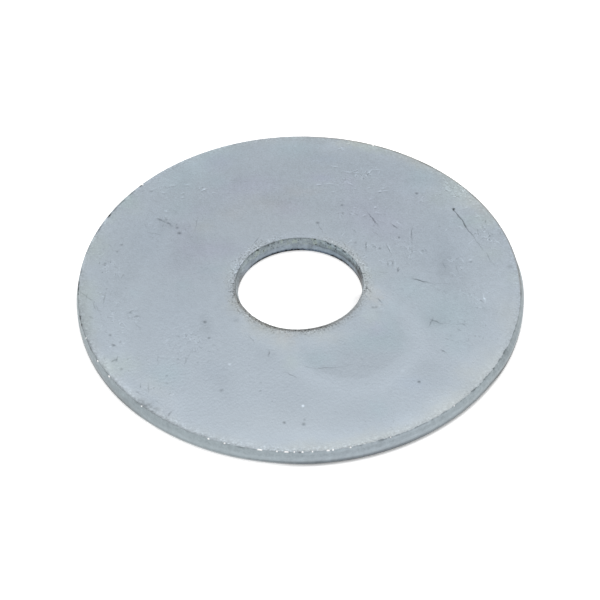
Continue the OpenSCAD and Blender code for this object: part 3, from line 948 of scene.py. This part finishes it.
# Floor and light
studio = {
    "floorHalf": 1.0,  # fills the picture from any side above 15 degrees
    "floorDrop": 0.01 * mm,  # keeps the floor off the underside
    "floorWhite": 0.90,
    "floorLift": 0.54,  # white that only the camera and reflections see
    "boreLift": 0.66,  # the same, raised inside the bore: painted light over the floor's shade there
    "shadowLift": 0.20,  # and lowered along the rim's foot on the shaded side: a painted contact shadow on the floor
    "boreBand": (4.6, 4.1),  # radii between which the first of them sets in, in mm
    "shadowBand": (15.11, 14.98),  # and the second
    "shadowSide": (0.60, 0.76),  # cosines from its side, shadeTowards
    "skyLow": 0.58,  # level of the sky towards the horizon
    "skyHigh": 1.50,  # and overhead
    "skyTurn": (0.64, 0.80),  # sines of the elevations between which it changes
    "skySide": 0.33,  # how much brighter it is to the right, over its own width
    "skyShade": 0.65,  # share of that level in front and to the right
    "skyShadeSide": (-0.05, 0.35),  # cosines from that side, shadeTowards
    "shadeTowards": (0.70, -0.71),  # that way, from above
    "softboxSize": (0.25, 0.25),
    "softboxPlace": (-0.12, 0.12, 0.60),
    "softboxPower": 0.25,
}


def seenRays(net):
    # 1 for camera, glossy and transmission rays
    rays = net.node("ShaderNodeLightPath").socket.node.outputs
    seen = [Value(net, rays[name]) for name in ("Is Camera Ray", "Is Glossy Ray", "Is Transmission Ray")]
    return net.clamp(seen[0] + seen[1] + seen[2])


def makeFloor():
    half, drop = studio["floorHalf"], -studio["floorDrop"]
    mesh = bpy.data.meshes.new("floor")
    mesh.from_pydata([(-half, -half, drop), (half, -half, drop), (half, half, drop), (-half, half, drop)],
                     [], [(0, 1, 2, 3)])
    floor = addObject("floor", mesh)
    material = bpy.data.materials.new("floorWhite")
    material.use_nodes = True
    net = Net(material.node_tree)
    matte = net.node("ShaderNodeBsdfDiffuse", {}, {"Color": (*(studio["floorWhite"],) * 3, 1.0)})
    x, y, _ = net.axes(net.node("ShaderNodeTexCoord", out="Object") * (1.0 / mm))
    radius = net.length(net.vector(x, y))
    shadeX, shadeY = studio["shadeTowards"]
    side = (x * shadeX + y * shadeY) / net.most(radius, 0.1)
    # shaded marks the ring where the lift is lowered, a painted contact shadow beside the foot
    shaded = net.fade(radius, *studio["shadowBand"]) * net.fade(side, *studio["shadowSide"])
    plain = studio["floorLift"]
    level = plain + net.fade(radius, *studio["boreBand"]) * (studio["boreLift"] - plain)
    level = level + shaded * (studio["shadowLift"] - plain)
    lift = net.node("ShaderNodeEmission", {}, {"Strength": seenRays(net) * level})
    both = net.node("ShaderNodeAddShader", {}, {0: matte, 1: lift})
    net.node("ShaderNodeOutputMaterial", {}, {"Surface": both})
    mesh.materials.append(material)
    return floor


def makeSky():
    world = bpy.data.worlds.new("studioSky")
    bpy.context.scene.world = world
    world.use_nodes = True
    net = Net(world.node_tree)
    across, away, up = net.axes(net.node("ShaderNodeTexCoord", out="Generated"))
    low, high = studio["skyLow"], studio["skyHigh"]
    level = (low + net.fade(up, *studio["skyTurn"]) * (high - low)) * (1.0 + across * studio["skySide"])
    shadeX, shadeY = studio["shadeTowards"]
    shaded = net.clamp(net.fade(across * shadeX + away * shadeY, *studio["skyShadeSide"]))
    level = level * (1.0 - shaded * (1.0 - studio["skyShade"]))
    sky = net.node("ShaderNodeBackground", {}, {"Color": (1, 1, 1, 1), "Strength": level})
    net.node("ShaderNodeOutputWorld", {}, {"Surface": sky})


def makeSoftbox():
    light = bpy.data.lights.new("softbox", "AREA")
    light.shape = "RECTANGLE"
    light.size, light.size_y = studio["softboxSize"]
    light.energy = studio["softboxPower"]
    lamp = addObject("softbox", light)
    lamp.location = studio["softboxPlace"]
    lamp.rotation_euler = (-lamp.location).to_track_quat("-Z", "Y").to_euler()  # faces the washer


makeFloor()
makeSky()
makeSoftbox()
print("studio: floor, sky and one softbox")

# Camera, fitted to the rim and the bore of the photograph
cameraSet = {
    "elevation": 45.68,
    "roll": -0.83,
    "distance": 149.0 * mm,
    "aim": (0.03 * mm, -0.59 * mm, 0.185 * mm),
    "lens": 132.58,
    "sensor": 36.0,
}


def makeCamera():
    data = bpy.data.cameras.new("camera")
    data.sensor_width, data.lens = cameraSet["sensor"], cameraSet["lens"]
    data.clip_start, data.clip_end = 10 * mm, 10.0
    camera = addObject("camera", data)
    elevation = math.radians(cameraSet["elevation"])
    back = Vector((0, -math.cos(elevation), math.sin(elevation)))
    tilt = Matrix.Rotation(math.radians(90) - elevation, 4, "X")
    roll = Matrix.Rotation(math.radians(cameraSet["roll"]), 4, "Z")
    place = Vector(cameraSet["aim"]) + back * cameraSet["distance"]
    camera.matrix_world = Matrix.Translation(place) @ tilt @ roll
    bpy.context.scene.camera = camera


makeCamera()
bpy.context.scene.view_settings.view_transform = "Standard"
